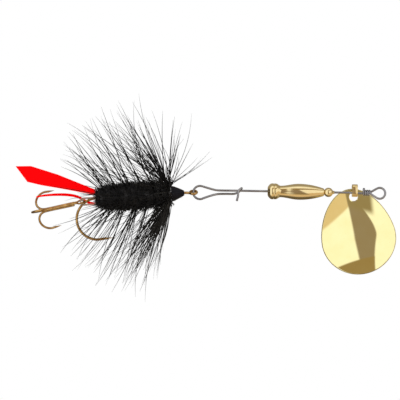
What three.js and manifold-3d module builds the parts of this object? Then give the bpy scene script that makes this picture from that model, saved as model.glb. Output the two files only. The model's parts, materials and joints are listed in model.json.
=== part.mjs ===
// Inline spinner with a dressed hook and a trailing treble.
// Millimetres, +Z up, +X towards the nose. The origin is the centre of the nose loop,
// where the line is tied, and the shaft lies along X.
import * as THREE from 'three';
import { mergeVertices } from 'three/addons/utils/BufferGeometryUtils.js';
import Module from 'manifold-3d';

const wasm = await Module();
wasm.setup();

// ---- driving dimensions ----
const WIRE_R = 0.25;              // spring-steel shaft wire
const FIT = 0.05;                 // running clearance on the wire
const BORE_R = WIRE_R + FIT;
const NOSE_R = 1.25;              // nose loop, to the middle of the wire
const NECK_X = -2.5;              // where the nose loop closes
const WRAP_TURNS = 3;
const WRAP_PITCH = 2 * WIRE_R + 0.01;
const WRAP_R = 2 * WIRE_R + 0.03;

const REAR_LOOP = { x: -41.35, z: -0.58, r: 1.52 };
const LOOP_SLOPE = THREE.MathUtils.degToRad(15);
const SPLIT_ANGLE = THREE.MathUtils.degToRad(230);
const CATCH_X = -32;
const LEG_Y = 0.6;                // the free leg runs behind the shaft

const BLADE = { halfWidth: 8.65, upper: 11.7, lower: 8.25, dish: 1.9, sheet: 0.4, plane: 1.3 };
const HOLE = { r: 1.0, below: 2.0, aside: 1.0, x: -5.9, z: -0.9 };
const BLADE_LEAN = THREE.MathUtils.degToRad(-14);
const STRAP = { x: -5.7, width: 1.2, sheet: 0.3, corner: 0.9 };

const BODY = { rear: -25.78, length: 13 };
const BEAD = { x: -11.8, r: 1.08 };

const EYE = { x: -42.85, z: -0.58 };
const FLY_PITCH = THREE.MathUtils.degToRad(-4.5);
const HOOK = { wire: 0.3, eye: 0.77, shank: 22.4, bend: 4.75, spear: 2.6 };
const HOOK_EYE_ROLL = THREE.MathUtils.degToRad(28);
const WOOL = { front: 5.2, rear: 22.3 };
const STEM_R = 0.15;

const TETHER = { r: 0.2, bend: 0.75, end: 26.0, y: -0.6, z: -0.6 };
const TREBLE = { wire: 0.25, eye: 0.8, shank: 8.7, bend: 2.3, spear: 2.0 };
const TREBLE_PITCH = THREE.MathUtils.degToRad(-13);
const TREBLE_YAW = THREE.MathUtils.degToRad(-14);

// ---- materials ----
function metal(color, roughness) {
  return new THREE.MeshStandardMaterial({ color, roughness, metalness: 1 });
}

function soft(color) {
  return new THREE.MeshStandardMaterial({ color, roughness: 0.9, metalness: 0 });
}

const steel = metal(0x9a9a98, 0.3);
const brass = metal(0xd8b45a, 0.2);
const bronze = metal(0x8a6238, 0.35);
const solder = metal(0xb08a52, 0.45);
const nylon = new THREE.MeshStandardMaterial({ color: 0xe8d8d0, roughness: 0.25 });

// ---- solids ----
function toSolid(geometry) {
  const bare = geometry.index ? geometry.toNonIndexed() : geometry.clone();
  bare.deleteAttribute('normal');
  bare.deleteAttribute('uv');
  const merged = mergeVertices(bare, 1e-4);
  return new wasm.Manifold(new wasm.Mesh({
    numProp: 3,
    vertProperties: new Float32Array(merged.attributes.position.array),
    triVerts: new Uint32Array(merged.index.array),
  }));
}

function toGeometry(solid) {
  const mesh = solid.getMesh();
  const geometry = new THREE.BufferGeometry();
  geometry.setAttribute('position', new THREE.BufferAttribute(new Float32Array(mesh.vertProperties), 3));
  geometry.setIndex(new THREE.BufferAttribute(new Uint32Array(mesh.triVerts), 1));
  return geometry;
}

function joined(geometries) {
  return toGeometry(geometries.map(toSolid).reduce((sum, next) => sum.add(next)));
}

function drilled(geometry, cutters) {
  return toGeometry(cutters.map(toSolid).reduce((rest, cutter) => rest.subtract(cutter), toSolid(geometry)));
}

function at(geometry, x, y, z) {
  return geometry.translate(x, y, z);
}

// A polygon with one flat towards each side, used as the section of every wire.
function roundSection(radius, sides) {
  const points = [];
  for (let i = 0; i < sides; i += 1) {
    const angle = (i + 0.5) * 2 * Math.PI / sides;
    points.push(new THREE.Vector2(radius * Math.cos(angle), radius * Math.sin(angle)));
  }
  return new THREE.Shape(points);
}

function wireAlong(points, radius, steps, sides = 6) {
  const extrudePath = new THREE.CatmullRomCurve3(points, false, 'centripetal');
  return new THREE.ExtrudeGeometry(roundSection(radius, sides), { steps, extrudePath, bevelEnabled: false });
}

// Points on an arc in the XZ plane, angles from +X towards +Z.
function arcPoints(x, z, radius, from, to, count) {
  const points = [];
  for (let i = 0; i <= count; i += 1) {
    const angle = from + (to - from) * i / count;
    points.push(new THREE.Vector3(x + radius * Math.cos(angle), 0, z + radius * Math.sin(angle)));
  }
  return points;
}

// A turned piece: the profile is [distance along X, radius] and closes along its bore.
function turnedAlongX(profile, bore, sides) {
  const first = profile[0][0];
  const last = profile[profile.length - 1][0];
  const outline = profile.map(([x, r]) => new THREE.Vector2(r, x));
  outline.push(new THREE.Vector2(bore, last));
  outline.push(new THREE.Vector2(bore, first));
  outline.push(outline[0].clone());
  return new THREE.LatheGeometry(outline, sides).rotateZ(-Math.PI / 2);
}

// A cone whose axis points along a direction, with its base centre at a point.
function spike(base, direction, length, radius, sides) {
  const cone = new THREE.ConeGeometry(radius, length, sides).translate(0, length / 2, 0);
  const turn = new THREE.Quaternion().setFromUnitVectors(new THREE.Vector3(0, 1, 0), direction);
  return cone.applyQuaternion(turn).translate(base.x, base.y, base.z);
}

// ---- wire ----
function shaftWire() {
  const { x, z, r } = REAR_LOOP;
  const top = Math.PI / 2 - LOOP_SLOPE;
  const points = arcPoints(x, z, r, SPLIT_ANGLE, top, 12);
  const crest = points[points.length - 1];
  const landing = crest.x + crest.z / Math.tan(LOOP_SLOPE);
  points.push(new THREE.Vector3(landing - 0.4, 0, 0.4 * Math.tan(LOOP_SLOPE)));
  points.push(new THREE.Vector3(landing + 0.4, 0, 0));
  for (let i = 1; i < 8; i += 1) {
    points.push(new THREE.Vector3(landing + (NECK_X - landing) * i / 8, 0, 0));
  }
  points.push(new THREE.Vector3(NECK_X - 0.3, 0, 0));
  const tangent = Math.acos(NOSE_R / -NECK_X);
  const entry = Math.PI - tangent;
  const loop = arcPoints(0, 0, NOSE_R, entry, -entry, 14);
  loop.forEach((point, i) => {
    point.y = -WRAP_R * 0.25 * i / 14;
  });
  points.push(...loop);
  const wrapLength = WRAP_TURNS * WRAP_PITCH;
  const wrapStart = NECK_X + WIRE_R;
  const stepsPerTurn = 12;
  for (let i = 0; i <= WRAP_TURNS * stepsPerTurn; i += 1) {
    const angle = 2 * Math.PI * i / stepsPerTurn;
    const along = wrapStart - wrapLength * i / (WRAP_TURNS * stepsPerTurn);
    points.push(new THREE.Vector3(along, -WRAP_R * Math.cos(angle), WRAP_R * Math.sin(angle)));
  }
  const end = points[points.length - 1];
  points.push(new THREE.Vector3(end.x + 0.03, end.y - 0.1, 0.55));
  points.push(new THREE.Vector3(end.x + 0.1, end.y - 0.1, 1.15));
  return wireAlong(points, WIRE_R, 150);
}

function latchArm() {
  const { x, z, r } = REAR_LOOP;
  const gap = FIT / r;
  const points = arcPoints(x, z, r, SPLIT_ANGLE + gap, 1.5 * Math.PI + LOOP_SLOPE, 5);
  points.push(new THREE.Vector3(-39.3, LEG_Y * 0.4, -1.42));
  points.push(new THREE.Vector3(-37.4, LEG_Y, -0.9));
  points.push(new THREE.Vector3(-35.4, LEG_Y, -0.78));
  points.push(new THREE.Vector3(-33.4, LEG_Y, -0.72));
  const reach = WRAP_R + 0.06;
  const catchSteps = 8;
  for (let i = 0; i <= catchSteps; i += 1) {
    const angle = -Math.PI / 5 + (Math.PI * 1.2) * i / catchSteps;
    const along = CATCH_X - 0.5 + 0.75 * Math.sin(Math.PI * i / catchSteps);
    points.push(new THREE.Vector3(along, reach * Math.cos(angle), reach * Math.sin(angle)));
  }
  points.push(new THREE.Vector3(CATCH_X - 0.6, -reach, -1.2));
  points.push(new THREE.Vector3(CATCH_X - 0.85, -reach + 0.05, -2.4));
  return wireAlong(points, WIRE_R, 50);
}

// ---- brass ----
// A rectangle with round corners, added to a path or a shape.
function roundedRectangle(path, centre, halfWide, halfHigh, corner) {
  const turns = [[1, 1, 0], [-1, 1, 0.5], [-1, -1, 1], [1, -1, 1.5]];
  for (const [sideX, sideY, start] of turns) {
    const x = centre.x + sideX * (halfWide - corner);
    const y = centre.y + sideY * (halfHigh - corner);
    path.absarc(x, y, corner, start * Math.PI, (start + 0.5) * Math.PI);
  }
  return path;
}

// A strap bent to a ring in the YZ plane: it goes round the shaft and through the blade's hole.
function clevis() {
  const low = HOLE.z + 0.12 - STRAP.sheet / 2;
  const high = HOLE.z + 2.85;
  const front = -WIRE_R - 0.55;
  const back = BLADE.plane + 1.05;
  const centre = new THREE.Vector2((front + back) / 2, (low + high) / 2);
  const wide = (back - front) / 2;
  const tall = (high - low) / 2;
  const outer = roundedRectangle(new THREE.Shape(), centre, wide, tall, STRAP.corner);
  const { sheet } = STRAP;
  outer.holes.push(roundedRectangle(new THREE.Path(), centre, wide - sheet, tall - sheet, STRAP.corner - sheet));
  const ring = new THREE.ExtrudeGeometry(outer, { depth: STRAP.width, bevelEnabled: false, curveSegments: 5 });
  ring.translate(0, 0, -STRAP.width / 2);
  const axes = new THREE.Matrix4().makeBasis(
    new THREE.Vector3(0, 1, 0), new THREE.Vector3(0, 0, 1), new THREE.Vector3(1, 0, 0));
  return ring.applyMatrix4(axes);
}

// The egg outline: pointed towards +Z, an ellipse below its widest line.
function bladePoint(ring, angle) {
  const side = Math.sin(angle);
  const up = Math.cos(angle);
  const upper = up > 0;
  const width = upper ? Math.sign(side) * Math.abs(side) ** 1.05 : side;
  const height = upper ? BLADE.upper * up ** 1.18 : BLADE.lower * up;
  const bowl = BLADE.dish * (1 - ring ** 2);
  return new THREE.Vector3(BLADE.halfWidth * width * ring, bowl, height * ring);
}

function blade() {
  const sheet = new THREE.SphereGeometry(1, 36, 12);
  const position = sheet.attributes.position;
  for (let i = 0; i < position.count; i += 1) {
    const x = position.getX(i);
    const y = position.getY(i);
    const z = position.getZ(i);
    const polar = Math.acos(THREE.MathUtils.clamp(Math.abs(y), 0, 1)) / (Math.PI / 2);
    const point = bladePoint(polar, Math.atan2(x, z));
    const thickness = BLADE.sheet / 2 * Math.sqrt(Math.max(0, 1 - polar ** 8));
    position.setXYZ(i, point.x, point.y + Math.sign(y) * thickness, point.z);
  }
  const drill = new THREE.CylinderGeometry(HOLE.r, HOLE.r, 6, 20);
  at(drill, HOLE.aside, 0, BLADE.upper - HOLE.below);
  return at(drilled(sheet, [drill]), -HOLE.aside, 0, HOLE.below - BLADE.upper);
}

function weightBody() {
  const profile = [[0, 0.9], [0.25, 1.35], [0.6, 1.72], [1.0, 1.84], [1.3, 1.84], [1.42, 1.72]];
  profile.push([1.55, 1.84], [1.9, 1.82], [2.3, 1.66], [2.65, 1.42], [3.0, 1.32], [3.3, 1.34]);
  const swell = 9;
  for (let i = 1; i <= swell; i += 1) {
    const t = i / swell;
    const radius = 1.34 + 0.5 * Math.sin(Math.PI / 2 * Math.min(1, t / 0.42)) ** 1.5;
    const taper = t > 0.42 ? 0.9 * ((t - 0.42) / 0.58) ** 2 : 0;
    profile.push([3.3 + (BODY.length - 3.6) * t, radius - taper]);
  }
  profile.push([BODY.length, 0.7]);
  return turnedAlongX(profile, BORE_R, 20);
}

function bearingBead() {
  const profile = [];
  const steps = 8;
  for (let i = 0; i <= steps; i += 1) {
    const angle = -0.38 * Math.PI + 0.76 * Math.PI * i / steps;
    profile.push([BEAD.r * Math.sin(angle), BEAD.r * Math.cos(angle)]);
  }
  profile.push([BEAD.r + 0.3, 0.36]);
  return turnedAlongX(profile, BORE_R, 16);
}

// ---- hooks, in a frame whose origin is the eye and whose shank runs along -X ----
function bendPoints(shank, bendR) {
  return arcPoints(-shank, -bendR, bendR, 0.5 * Math.PI, 1.56 * Math.PI, 12).slice(1);
}

// The barbed point that carries on from the end of a bend.
function pointPieces(bend, radius, length) {
  const tip = bend[bend.length - 1];
  const before = bend[bend.length - 2];
  const ahead = tip.clone().sub(before).normalize();
  const base = tip.clone().addScaledVector(ahead, -0.1);
  const point = spike(base, ahead, length, radius * 0.84, 7);
  const inward = new THREE.Vector3(-ahead.z, 0, ahead.x);
  const barbDirection = inward.multiplyScalar(0.55).addScaledVector(ahead, -1).normalize();
  const barbBase = tip.clone().addScaledVector(ahead, length * 0.32);
  const barb = spike(barbBase, barbDirection, length * 0.3, radius * 0.45, 5);
  return [point, barb];
}

function flyHook() {
  const ring = [];
  for (let i = 0; i < 12; i += 1) {
    const angle = Math.PI - 0.42 - (1.72 * Math.PI) * i / 11;
    const rim = new THREE.Vector3(HOOK.eye * Math.cos(angle), HOOK.eye * Math.sin(angle), 0);
    ring.push(rim.applyAxisAngle(new THREE.Vector3(1, 0, 0), HOOK_EYE_ROLL));
  }
  const straight = [];
  for (let i = 0; i <= 4; i += 1) {
    straight.push(new THREE.Vector3(-HOOK.eye - 0.75 - (HOOK.shank - HOOK.eye - 0.75) * i / 4, 0, 0));
  }
  const bend = bendPoints(HOOK.shank, HOOK.bend);
  const wire = wireAlong([...ring, ...straight, ...bend], HOOK.wire, 64);
  return joined([wire, ...pointPieces(bend, HOOK.wire, HOOK.spear)]);
}

// One leg of the treble: shank, bend and spear in the XZ plane, then turned about the shank.
function trebleLeg(turn, offset) {
  const start = new THREE.Vector3(-TREBLE.eye - 0.9, 0, 0);
  const middle = new THREE.Vector3(-TREBLE.shank / 2, 0, 0);
  const end = new THREE.Vector3(-TREBLE.shank, 0, 0);
  const bend = bendPoints(TREBLE.shank, TREBLE.bend);
  const points = [start, middle, end, ...bend];
  const pieces = [wireAlong(points, TREBLE.wire, 24), ...pointPieces(bend, TREBLE.wire, TREBLE.spear)];
  pieces.forEach((piece) => piece.translate(0, 0, -offset).rotateX(turn).translate(0, BUNDLE.y, BUNDLE.z));
  return pieces;
}

function trebleEye(turn, offset) {
  const points = [];
  const seat = -TREBLE.eye - 1.1;
  points.push(new THREE.Vector3(seat - 0.43, offset, 0));
  points.push(new THREE.Vector3(seat, offset, 0));
  for (let i = 0; i <= 12; i += 1) {
    const angle = Math.PI - 0.5 - (2 * Math.PI - 1.0) * i / 12;
    points.push(new THREE.Vector3(TREBLE.eye * Math.cos(angle), TREBLE.eye * Math.sin(angle), 0));
  }
  points.push(new THREE.Vector3(seat, -offset, 0));
  points.push(new THREE.Vector3(seat - 0.43, -offset, 0));
  return wireAlong(points, TREBLE.wire * 0.8, 28).rotateX(turn);
}

// Down-pointing legs are turned to these directions, seen from the eye.
const LEG_TURN = { upper: 5 * Math.PI / 6, lower: Math.PI / 6, front: -Math.PI / 2 };
const LEG_OFFSET = 0.32;
// The eye is bent from the upper and the front leg, so it is centred between those two.
const EYE_TILT = Math.PI / 6;
const BUNDLE = { y: LEG_OFFSET / 4, z: -LEG_OFFSET * Math.cos(Math.PI / 6) / 2 };

function trebleDoubleHook() {
  const eye = trebleEye(EYE_TILT, LEG_OFFSET * Math.cos(Math.PI / 6));
  return joined([eye, ...trebleLeg(LEG_TURN.upper, LEG_OFFSET), ...trebleLeg(LEG_TURN.front, LEG_OFFSET)]);
}

function trebleSingleHook() {
  return joined(trebleLeg(LEG_TURN.lower, LEG_OFFSET));
}

// ---- dressing, in the hook's frame ----
function ringOnShank(profile, bore, sides) {
  return turnedAlongX(profile.map(([s, r]) => [-s, r]).reverse(), bore, sides);
}

function woolRadius(s) {
  const t = (s - WOOL.front) / (WOOL.rear - WOOL.front);
  return 2.0 + 0.85 * Math.sin(Math.PI * THREE.MathUtils.clamp(t * 0.85 + 0.08, 0, 1));
}

function threadHead() {
  return ringOnShank([[2.1, 0.6], [2.5, 1.0], [3.3, 1.5], [4.3, 1.85], [5.1, 1.9]], HOOK.wire + 0.08, 16);
}

function underbodyThread() {
  return ringOnShank([[5.3, 0.72], [12, 0.78], [20.6, 0.72]], HOOK.wire + FIT, 12);
}

function woolBody() {
  const profile = [];
  const ridges = 9;
  for (let i = 0; i <= 2 * ridges; i += 1) {
    const s = WOOL.front + (WOOL.rear - WOOL.front) * i / (2 * ridges);
    profile.push([s, woolRadius(s) - (i % 2 === 0 ? 0.22 : 0)]);
  }
  return ringOnShank(profile, 0.82, 16);
}

function bandOnShank(from, to) {
  return ringOnShank([[from, 0.66], [(from + to) / 2, 0.74], [to, 0.62]], HOOK.wire + FIT, 12);
}

// A stem wound round the body, and the direction in which its barbs stand.
function stemPoint(s, angle, clear) {
  const radius = (s < WOOL.front ? 1.95 : woolRadius(s)) + STEM_R + clear;
  return new THREE.Vector3(-s, radius * Math.sin(angle), radius * Math.cos(angle));
}

function stemPoints(from, to, turns, clear) {
  const points = [];
  const count = Math.round(turns * 12);
  for (let i = 0; i <= count; i += 1) {
    points.push(stemPoint(from + (to - from) * i / count, 2 * Math.PI * turns * i / count, clear));
  }
  return points;
}

function hackleStem(from, to, turns, clear) {
  return wireAlong(stemPoints(from, to, turns, clear), STEM_R, Math.round(turns * 14), 5);
}

// Barb clumps stand on a thin winding just outside the stem, which holds them as one piece.
function hackleBarbs(from, to, turns, clear, perTurn, sweepFront, sweepRear, length) {
  const lift = clear + 2 * STEM_R + 0.06;
  const pieces = [wireAlong(stemPoints(from, to, turns, lift), 0.12, Math.round(turns * 14), 4)];
  const count = Math.round(turns * perTurn);
  for (let i = 0; i < count; i += 1) {
    const t = (i + 0.5) / count;
    const s = from + (to - from) * t;
    const angle = 2 * Math.PI * turns * t;
    const overHookGap = s > 10 && Math.cos(angle) < 0 && Math.abs(Math.sin(angle)) < 0.55;
    if (overHookGap) continue;
    const base = stemPoint(s, angle, lift);
    const sweep = sweepFront + (sweepRear - sweepFront) * t + 0.12 * Math.sin(5.1 * i);
    const out = new THREE.Vector3(0, Math.sin(angle), Math.cos(angle)).multiplyScalar(Math.cos(sweep));
    const direction = out.add(new THREE.Vector3(-Math.sin(sweep), 0, 0)).normalize();
    pieces.push(spike(base, direction, length * (1 + 0.06 * Math.sin(2.3 * i)), 0.2, 3));
  }
  return joined(pieces);
}

const PALMER = { from: 6.4, to: 21.0, turns: 5, clear: 0.03 };
const COLLAR = { from: 5.35, to: 6.1, turns: 1.6, clear: 0.03 };

// A tail slip: a flat strip cut slantwise, with its outline in the XZ plane.
function tailSlip(outline, thickness) {
  const shape = new THREE.Shape(outline.map(([s, z]) => new THREE.Vector2(-s, z)));
  const strip = new THREE.ExtrudeGeometry(shape, { depth: thickness, bevelEnabled: false });
  return strip.translate(0, 0, -thickness / 2).rotateX(Math.PI / 2);
}

function tetherLoop() {
  const start = -WOOL.rear - 0.1;
  const far = -TETHER.end + TETHER.bend;
  const points = [new THREE.Vector3(start, 0, TETHER.bend)];
  points.push(new THREE.Vector3((start + far) / 2, 0, TETHER.bend));
  points.push(...arcPoints(far, 0, TETHER.bend, 0.5 * Math.PI, 1.5 * Math.PI, 10));
  points.push(new THREE.Vector3((start + far) / 2, 0, -TETHER.bend));
  points.push(new THREE.Vector3(start, 0, -TETHER.bend));
  return wireAlong(points, TETHER.r, 24, 6);
}

// ---- assembly ----
const group = new THREE.Group();

function add(parent, name, geometry, material) {
  const mesh = new THREE.Mesh(geometry, material);
  mesh.name = name;
  parent.add(mesh);
  return mesh;
}

add(group, 'shaft_wire', shaftWire(), steel);
add(group, 'latch_arm', latchArm(), steel);
add(group, 'clevis', clevis(), brass).position.set(STRAP.x, 0, 0);
const bladeMesh = add(group, 'blade', blade(), brass);
bladeMesh.position.set(HOLE.x, BLADE.plane, HOLE.z);
bladeMesh.rotation.y = BLADE_LEAN;
add(group, 'bearing_bead', bearingBead(), brass).position.set(BEAD.x, 0, 0);
add(group, 'weight_body', weightBody(), brass).position.set(BODY.rear, 0, 0);

const fly = new THREE.Group();
fly.position.set(EYE.x, 0, EYE.z);
fly.rotation.y = FLY_PITCH;
group.add(fly);
add(fly, 'fly_hook', flyHook(), bronze);
add(fly, 'thread_head', threadHead(), soft(0x101012));
add(fly, 'underbody_thread', underbodyThread(), soft(0x18181a));
add(fly, 'wool_body', woolBody(), soft(0x141416));
add(fly, 'tail_tie_wraps', bandOnShank(20.75, 21.35), soft(0x18181a));
add(fly, 'tether_tie_wraps', bandOnShank(21.5, 22.1), soft(0x18181a));
add(fly, 'palmer_stem', hackleStem(PALMER.from, PALMER.to, PALMER.turns, PALMER.clear), soft(0x101010));
const palmerBarbs = hackleBarbs(PALMER.from, PALMER.to, PALMER.turns, PALMER.clear, 11, 0.25, 0.55, 15.5);
add(fly, 'palmer_barbs', palmerBarbs, soft(0x0c0c0e));
add(fly, 'collar_stem', hackleStem(COLLAR.from, COLLAR.to, COLLAR.turns, COLLAR.clear), soft(0x101010));
const collarBarbs = hackleBarbs(COLLAR.from, COLLAR.to, COLLAR.turns, COLLAR.clear, 15, -0.18, 0.12, 16.5);
add(fly, 'collar_barbs', collarBarbs, soft(0x0c0c0e));

const wideOutline = [[22.45, 2], [30.9, 6], [36.9, 8.3], [40.4, 8.46], [37.9, 4.68], [34.6, 3.7]];
wideOutline.push([30.9, 2.85], [22.45, 0.75]);
add(fly, 'tail_slip_wide', tailSlip(wideOutline, 0.3), soft(0xe8121a)).position.set(0, -0.6, 0);
// Middle line and half width of the narrow slip, whose end droops below the treble's upper hook.
const narrowMiddle = [
  [22.45, -1.35, 0.32], [24.3, -0.85, 0.32], [25.6, 0, 0.32], [27.2, 0.8, 0.32],
  [30, 1.3, 0.32], [34.4, 1.38, 0.26], [36.2, 1.14, 0.16],
];
const narrowTop = narrowMiddle.map(([s, z, half]) => [s, z + half]);
const narrowOutline = [...narrowTop, ...narrowMiddle.reverse().map(([s, z, half]) => [s, z - half])];
add(fly, 'tail_slip_narrow', tailSlip(narrowOutline, 0.8), soft(0xd01020)).position.set(0, 1.1, 0);
add(fly, 'tether_loop', tetherLoop(), nylon).position.set(0, TETHER.y, TETHER.z);

const treble = new THREE.Group();
treble.position.set(-TETHER.end, TETHER.y, TETHER.z);
treble.rotation.set(0, TREBLE_PITCH - FLY_PITCH, TREBLE_YAW, 'ZYX');
fly.add(treble);
add(treble, 'treble_double_hook', trebleDoubleHook(), bronze);
add(treble, 'treble_single_hook', trebleSingleHook(), bronze);
const brazeRod = new THREE.CylinderGeometry(0.05, 0.05, TREBLE.shank * 0.55, 6).rotateZ(Math.PI / 2);
add(treble, 'treble_braze', at(brazeRod, -TREBLE.shank * 0.55, BUNDLE.y, BUNDLE.z), solder);

export default group;
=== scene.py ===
"""The looks of an inline spinner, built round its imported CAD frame.

Sizes and points are in millimetres in the row frame, +X towards the nose and +Z up, until a mesh is made.
The dressed hook and the treble have frames of their own: the origin is the hook's eye, and the shank runs
along -X.
"""

import json
import math
from functools import reduce

import bpy
import numpy as np
from mathutils import Matrix, Vector


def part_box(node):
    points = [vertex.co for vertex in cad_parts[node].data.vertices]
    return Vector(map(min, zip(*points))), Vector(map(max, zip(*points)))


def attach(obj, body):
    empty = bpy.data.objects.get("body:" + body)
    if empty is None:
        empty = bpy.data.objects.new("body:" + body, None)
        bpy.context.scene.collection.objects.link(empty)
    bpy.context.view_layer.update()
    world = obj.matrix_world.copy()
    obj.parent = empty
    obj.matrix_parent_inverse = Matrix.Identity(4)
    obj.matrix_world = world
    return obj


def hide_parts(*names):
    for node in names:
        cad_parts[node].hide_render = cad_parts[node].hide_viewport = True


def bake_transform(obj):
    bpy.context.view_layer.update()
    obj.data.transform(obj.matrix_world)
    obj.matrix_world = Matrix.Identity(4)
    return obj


MM = 0.001

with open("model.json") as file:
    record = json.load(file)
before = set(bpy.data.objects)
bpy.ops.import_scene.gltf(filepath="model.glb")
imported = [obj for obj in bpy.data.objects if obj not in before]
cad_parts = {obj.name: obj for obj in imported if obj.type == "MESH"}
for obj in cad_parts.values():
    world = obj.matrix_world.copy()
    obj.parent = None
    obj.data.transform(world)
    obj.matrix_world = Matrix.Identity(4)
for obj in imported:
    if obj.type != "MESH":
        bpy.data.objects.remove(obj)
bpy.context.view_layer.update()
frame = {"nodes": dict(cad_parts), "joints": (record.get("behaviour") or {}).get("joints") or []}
JOINTS = {joint["name"]: joint for joint in frame["joints"]}


# ---- places taken from the frame ----
def joint_point(name):
    return np.array(JOINTS[name]["pos_m"]) / MM


def node_box(name):
    low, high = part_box(name)
    return np.array(low) / MM, np.array(high) / MM


HOOK_EYE = joint_point("hook_yaw")
TREBLE_EYE = joint_point("treble_yaw")
BLADE_HOLE = joint_point("blade_swing")
SHANK_NORMAL = JOINTS["treble_yaw"]["axis"]
FLY_PITCH = math.atan2(SHANK_NORMAL[0], SHANK_NORMAL[2])

# ---- sizes of the pieces ----
WIRE_R = 0.25
BORE_R = 0.3
NOSE_R = 1.25
NECK_X = -2.5
WRAP_TURNS = 3
WRAP_PITCH = 0.51
WRAP_R = 0.53
REAR_LOOP_R = 1.52
REAR_LOOP_X = -41.35
LOOP_SLOPE = math.radians(15)
SPLIT_ANGLE = math.radians(230)
BEND_SPREAD = math.radians(32)
LEG_Y = 0.6
CATCH_X = -32.0
END_ROUND = 0.35

BLADE_HALF_WIDTH = 8.65
BLADE_UPPER = 11.7
BLADE_LOWER = 8.25
BLADE_DISH = 1.9
BLADE_SHEET = 0.4
BLADE_LEAN = math.radians(-14)
HOLE_R = 1.0
HOLE_BELOW_TOP = 2.0
HOLE_ASIDE = 1.0
RIM_CUT_FROM, RIM_CUT_WIDTH, RIM_CUT_DEPTH = 0.981, 0.017, 0.85 * BLADE_SHEET
EDGE_BREAK = 0.025
STRAP_WIDTH = 1.2
STRAP_SHEET = 0.3
STRAP_CORNER = 0.9
STRAP_EDGE_ROUND = 0.08

HOOK_WIRE = 0.3
HOOK_EYE_R = 0.77
HOOK_EYE_ROLL = math.radians(28)
HOOK_SHANK = 22.4
HOOK_BEND = 4.75
HOOK_SPEAR = 2.6
WOOL_FRONT = 5.2
WOOL_REAR = 22.3
WOOL_BORE = 0.82
WOOL_PITCH, WOOL_GROOVE = 1.9, 0.22
PILE_FIBRES = 7000
PILE_LENGTH = (0.6, 1.5)
PILE_RADII = 0.06 * np.array([1, 0.95, 0.85, 0.65, 0.25])
HEAD_BORE = 0.38
HEAD_KNOTS = [(2.1, 0.55), (2.5, 0.8), (3.3, 1.2), (4.3, 1.65), (5.1, 1.9)]
THREAD_PITCH, THREAD_RIDGE = 0.2, 0.05
WOUND_SIDES = 72

# A feather's winding: where it starts and ends behind the hook's eye, and its turns.
PALMER_WINDING, PALMER_BARBS = (6.4, 21.0, 5), 190
COLLAR_WINDING, COLLAR_BARBS = (5.35, 6.1, 1.6), 180
WISP_WINDING, WISPS = (5.35, 5.5, 0.05), 5
STEM_R = 0.15
STEM_CLEAR = 0.03
BARB_RADII = 0.105 * np.array([1.0, 1.0, 0.96, 0.90, 0.82, 0.72, 0.58, 0.40, 0.15])

# The tail slips' edges as (distance behind the eye, height).
WIDE_TOP = [(22.45, 2.0), (30.9, 6.0), (36.9, 8.3), (40.4, 8.46)]
WIDE_BOTTOM = [(22.45, 0.75), (30.9, 2.85), (34.6, 3.7), (37.9, 4.68)]
NARROW_MIDDLE = [(22.45, -1.35), (24.3, -0.85), (25.6, 0), (27.2, 0.8)]
NARROW_MIDDLE += [(30, 1.3), (34.4, 1.36), (36.2, 1.12)]
NARROW_HALVES = [(30, 0.32), (34.4, 0.24), (36.2, 0.15)]

TETHER_R = 0.2
TETHER_BEND = 0.75
TREBLE_WIRE = 0.25
TREBLE_EYE_R = 0.8
TREBLE_SHANK = 8.7
TREBLE_BEND = 2.3
TREBLE_SPEAR = 2.0
TREBLE_PITCH = math.radians(-13)
TREBLE_YAW = math.radians(-14)
LEG_OFFSET = 0.32
LEG_TURN = {"upper": 5 * math.pi / 6, "lower": math.pi / 6, "front": -math.pi / 2}
EYE_TILT = math.pi / 6
BUNDLE = np.array([0, LEG_OFFSET / 4, -LEG_OFFSET * math.cos(math.pi / 6) / 2])


# ---- frames of the dressed hook and the treble ----
def shift(point):
    return Matrix.Translation(Vector(point))


FLY = shift(HOOK_EYE) @ Matrix.Rotation(FLY_PITCH, 4, "Y")
TREBLE_TURN = Matrix.Rotation(TREBLE_YAW, 4, "Z") @ Matrix.Rotation(TREBLE_PITCH - FLY_PITCH, 4, "Y")
TREBLE = shift(TREBLE_EYE) @ Matrix.Rotation(FLY_PITCH, 4, "Y") @ TREBLE_TURN


def placed(vertices, matrix):
    """The vertices after a 4x4 matrix."""
    m = np.array(matrix)
    return np.asarray(vertices, float) @ m[:3, :3].T + m[:3, 3]


# ---- materials ----
def new_material(name):
    material = bpy.data.materials.new(name)
    material.use_nodes = True
    nodes = material.node_tree.nodes
    return material, nodes, material.node_tree.links, nodes["Principled BSDF"]


def noise(nodes, links, scale, detail, stretch=(1, 1, 1)):
    """Noise in the object's own millimetres, stretched along its axes."""
    coordinates = nodes.new("ShaderNodeTexCoord")
    mapping = nodes.new("ShaderNodeMapping")
    mapping.inputs["Scale"].default_value = [value / MM for value in stretch]
    texture = nodes.new("ShaderNodeTexNoise")
    texture.inputs["Scale"].default_value = scale
    texture.inputs["Detail"].default_value = detail
    links.new(coordinates.outputs["Object"], mapping.inputs["Vector"])
    links.new(mapping.outputs["Vector"], texture.inputs["Vector"])
    return texture.outputs["Fac"]


def spread(nodes, links, source, low, high):
    """The noise value spread over a range."""
    ramp = nodes.new("ShaderNodeMapRange")
    ramp.inputs["From Min"].default_value = 0.3
    ramp.inputs["From Max"].default_value = 0.7
    ramp.inputs["To Min"].default_value = low
    ramp.inputs["To Max"].default_value = high
    links.new(source, ramp.inputs["Value"])
    return ramp.outputs["Result"]


def blended_color(nodes, links, source, first, second):
    mix = nodes.new("ShaderNodeMix")
    mix.data_type = "RGBA"
    mix.inputs["A"].default_value = (*first, 1)
    mix.inputs["B"].default_value = (*second, 1)
    links.new(spread(nodes, links, source, 0, 1), mix.inputs["Factor"])
    return mix.outputs["Result"]


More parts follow.
